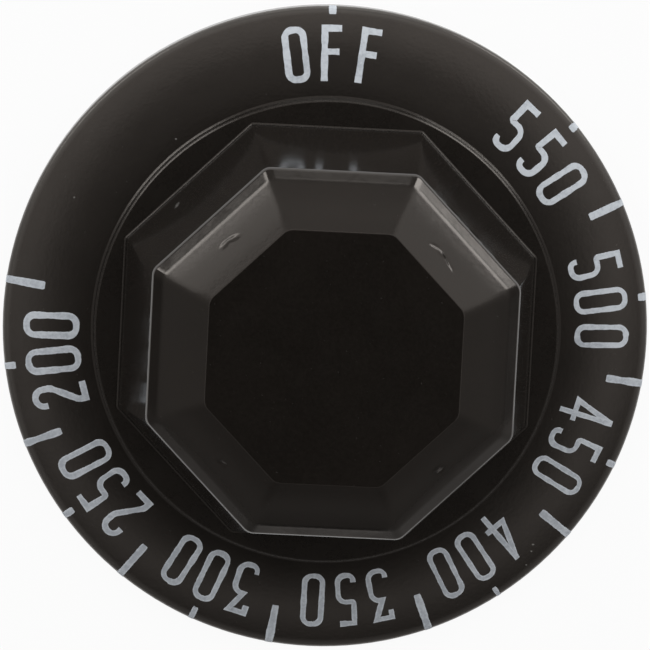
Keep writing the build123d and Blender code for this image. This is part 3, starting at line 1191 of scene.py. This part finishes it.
class DIAL_OT_spring(bpy.types.Operator):
    """Build the leaf spring in the socket"""

    bl_idname = "dial.spring"
    bl_label = "Shaft spring"

    def execute(self, context):
        dial, spring, _, finish, _ = settings()
        plan = MouldingPlan(dial, spring)
        path = rounded_path(
            [
                (plan.hub_radius - spring.foot_inset, plan.foot_z),
                (plan.leg_offset, plan.foot_z),
                (plan.leg_offset, plan.socket_z),
                (plan.bow_offset, plan.bow_start_z),
                (plan.bow_offset, plan.bow_end_z),
                (plan.leg_offset, plan.toe_z),
            ],
            [spring.bend] + [spring.bow_bend] * 3,
            FINE_ARC,
        )
        half = spring.width / 2
        side = half - spring.edge_round
        face = 1 - spring.edge_round / (spring.thickness / 2)
        section = [(-1, -side), (-face, -half), (face, -half), (1, -side)]
        section += [(1, side), (face, half), (-face, half), (-1, side)]
        strip = swept_strip(path, np.full(len(path), spring.thickness / 2), section, False)
        points = np.stack([strip[..., 2], -strip[..., 0], strip[..., 1]], axis=-1)
        faces = strip_faces(len(path), len(section), False, 0)
        piece = new_piece("spring_strip", points, faces, steel_material(finish), PLAIN_CREASE)
        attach(piece, "root")
        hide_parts("shaft_spring")
        return {"FINISHED"}


# Lamps: name, direction it shines from in degrees clockwise from OFF, height over the floor in degrees,
# distance, width and height in metres, and power in watts
LAMPS = (
    ("low_left", -47, 19.8, 0.50, 0.26, 0.08, 0.42),
    ("low_right", 41, 15.9, 0.50, 0.26, 0.09, 0.57),
    ("left_box", -52, 34, 0.50, 0.30, 0.18, 0.175),
    ("right_box", 50, 39, 0.50, 0.30, 0.22, 0.138),
    ("far_strip", 0, 9.5, 0.50, 0.30, 0.07, 0.15),
)
LAMP_COLOUR = (0.95, 0.985, 1.0)
# The room as a round tent: brightness over the sine of the height, all round and more on the OFF side
TENT = (
    (0.0, 0.0),
    (0.34, 0.33),
    (0.64, 0.07),
    (0.77, 0.24),
    (0.84, 0.85),
    (0.89, 0.2),
    (0.94, 0.08),
    (0.97, 0.04),
    (1.0, 0.0),
)
TENT_FAR = (
    (0.0, 0.0),
    (0.34, 0.13),
    (0.64, 0.68),
    (0.77, 0.2),
    (0.85, 1.05),
    (0.9, 1.12),
    (0.94, 0.2),
    (0.97, 0.42),
    (0.985, 0.34),
    (1.0, 0.0),
)


class DIAL_OT_stage(bpy.types.Operator):
    """Set up the table, the lamps and the camera"""

    bl_idname = "dial.stage"
    bl_label = "Stage"

    def execute(self, context):
        *_, stage = settings()
        scene = context.scene
        around = np.linspace(0, 2 * math.pi, FLOOR_SIDES, endpoint=False)
        ring = stage.floor_radius * np.stack([np.cos(around), np.sin(around), 0 * around], axis=1)
        points = np.concatenate([ring, ring * FLOOR_MIDDLE]) - (0, 0, stage.floor_drop)
        faces = list(grid_faces(2, FLOOR_SIDES, True)) + [np.arange(FLOOR_SIDES) + FLOOR_SIDES]
        floor = new_piece("table", points, faces, floor_material(), PLAIN_CREASE)
        for name, place, height, distance, width, tall, power in LAMPS:
            lamp = bpy.data.lights.new(name, "AREA")
            lamp.shape = "RECTANGLE"
            lamp.size = width
            lamp.size_y = tall
            lamp.energy = power
            lamp.color = LAMP_COLOUR
            holder = bpy.data.objects.new(name, lamp)
            out, up = math.radians(place), math.radians(height)
            toward = Vector((math.sin(out) * math.cos(up), math.cos(out) * math.cos(up), math.sin(up)))
            turned = toward.to_track_quat("Z", "Y").to_matrix().to_4x4()
            holder.matrix_world = Matrix.Translation(toward * distance) @ turned
            scene.collection.objects.link(holder)
        self.world(scene)
        self.camera(scene, stage)
        scene.view_settings.view_transform = "Standard"
        return {"FINISHED"}

    def world(self, scene):
        """A round tent of pale cloth with a dark opening overhead."""
        shader = Shader(bpy.data.worlds.new("tent"))
        x, y, z = shader.axes(shader.node("ShaderNodeTexCoord", output="Generated"))
        far_side = 0.5 + 0.5 * y / (x * x + y * y).root().higher(TINY)
        level = shader.stepped(z, TENT) + far_side * shader.stepped(z, TENT_FAR)
        light = shader.node("ShaderNodeBackground", None, {"Color": level, "Strength": 1.0})
        scene.world = shader.finish(light, "ShaderNodeOutputWorld")

    def camera(self, scene, stage):
        """The camera leans to the OFF side and a little to the left, and is turned about its own axis."""
        lean = Matrix.Rotation(-stage.camera_lean, 4, "X")
        side = Matrix.Rotation(-stage.camera_side, 4, "Y")
        roll = Matrix.Rotation(stage.camera_roll, 4, "Z")
        offset = Matrix.Translation((stage.aim_right, stage.aim_up, stage.camera_distance))
        data = bpy.data.cameras.new("camera")
        data.lens = data.sensor_width * stage.camera_distance / stage.view_width
        data.clip_start = 10 * MM
        holder = bpy.data.objects.new("camera", data)
        holder.matrix_world = Matrix.Translation((0, 0, stage.aim_height)) @ lean @ side @ roll @ offset
        scene.collection.objects.link(holder)
        scene.camera = holder


PIECE_OPERATORS = (DIAL_OT_moulding, DIAL_OT_figures, DIAL_OT_ticks, DIAL_OT_spring, DIAL_OT_stage)


class DIAL_PT_panel(bpy.types.Panel):
    """The dial's pieces, in the order in which they are built"""

    bl_label = "Temperature Dial"
    bl_idname = "DIAL_PT_panel"
    bl_space_type = "VIEW_3D"
    bl_region_type = "UI"
    bl_category = "Dial"

    def draw(self, context):
        for operator in PIECE_OPERATORS:
            self.layout.operator(operator.bl_idname)


GROUPS = {
    "dial_sizes": DialSizes,
    "dial_spring": SpringSizes,
    "dial_scale": ScaleSizes,
    "dial_finish": Finish,
    "dial_stage": Stage,
}


def register():
    """Register the classes and hang the property groups on the scene."""
    for group in (*GROUPS.values(), *PIECE_OPERATORS, DIAL_PT_panel):
        bpy.utils.register_class(group)
    for name, group in GROUPS.items():
        setattr(bpy.types.Scene, name, bpy.props.PointerProperty(type=group))


def unregister():
    """Take the property groups and classes away again."""
    for name in GROUPS:
        delattr(bpy.types.Scene, name)
    for group in (DIAL_PT_panel, *PIECE_OPERATORS[::-1], *GROUPS.values()):
        bpy.utils.unregister_class(group)


def main():
    """Build every piece in order."""
    register()
    bpy.ops.dial.moulding()
    bpy.ops.dial.figures()
    bpy.ops.dial.ticks()
    bpy.ops.dial.spring()
    bpy.ops.dial.stage()
    bpy.context.view_layer.update()


if __name__ == "__main__":
    main()
